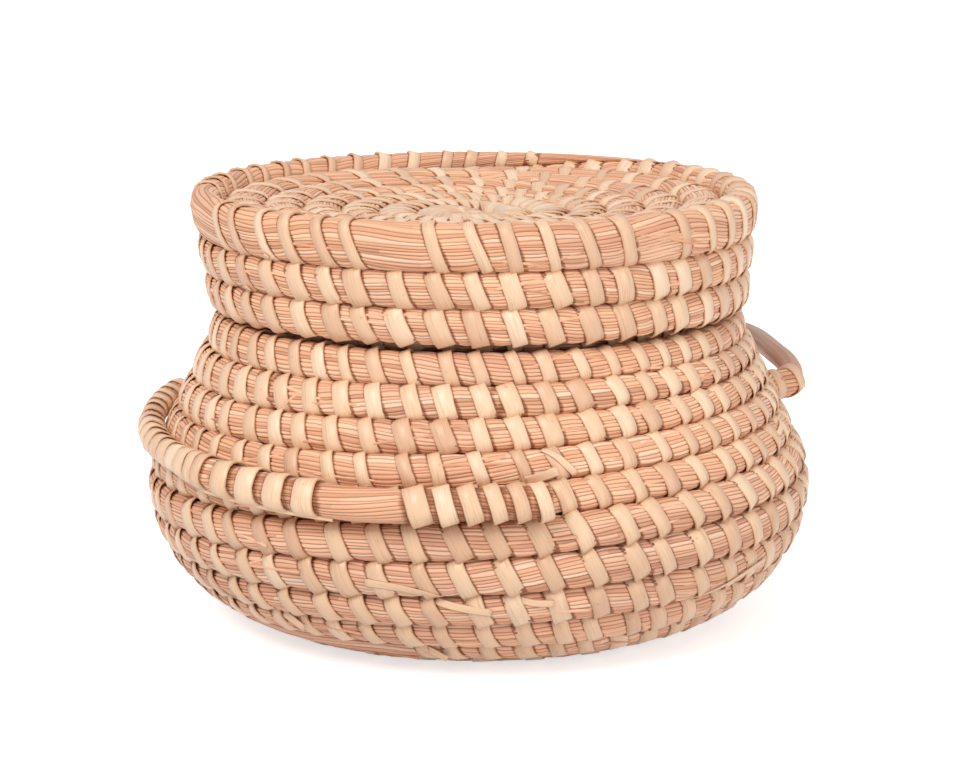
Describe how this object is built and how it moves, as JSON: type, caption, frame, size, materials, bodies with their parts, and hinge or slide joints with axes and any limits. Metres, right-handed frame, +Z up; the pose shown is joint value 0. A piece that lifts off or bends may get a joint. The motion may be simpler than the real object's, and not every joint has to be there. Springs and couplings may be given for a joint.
{
  "type": "tortilla warmer basket",
  "caption": "Round lidded basket of coiled straw rows sewn with pale palm strips, with a full belly, a narrow neck, a palm-wrapped handle and a bare bent-cane handle.",
  "frame": {"origin": "on the floor under the middle of the base", "axes": "+Z up through the lid, -Y towards the viewer of the picture, +X to the right of it"},
  "size_m": [0.2678, 0.2731, 0.1679],
  "materials": {
    "straw": "matte bundled straw stems",
    "palm_strip": "satin palm leaf strip",
    "cane": "smooth satin cane"
  },
  "bodies": {
    "basket": {"base_start_knot": "palm_strip", "base_coil": "straw", "belly_coil": "straw", "shoulder_coil": "straw", "neck_collar_coil": "straw", "left_handle_cane": "cane", "left_handle_straw": "straw", "left_handle_close_wraps": "palm_strip", "left_handle_wide_wraps": "palm_strip", "left_handle_front_wraps": "palm_strip", "right_handle_cane": "cane"},
    "lid": {"lid_start_knot": "palm_strip", "lid_dish_coil": "straw", "lid_rim_coil": "straw"}
  },
  "joints": [
    {"name": "lid_lift", "type": "slide", "parent": "basket", "child": "lid", "axis": [0, 0, 1], "range_m": [0, 0.09]}
  ]
}
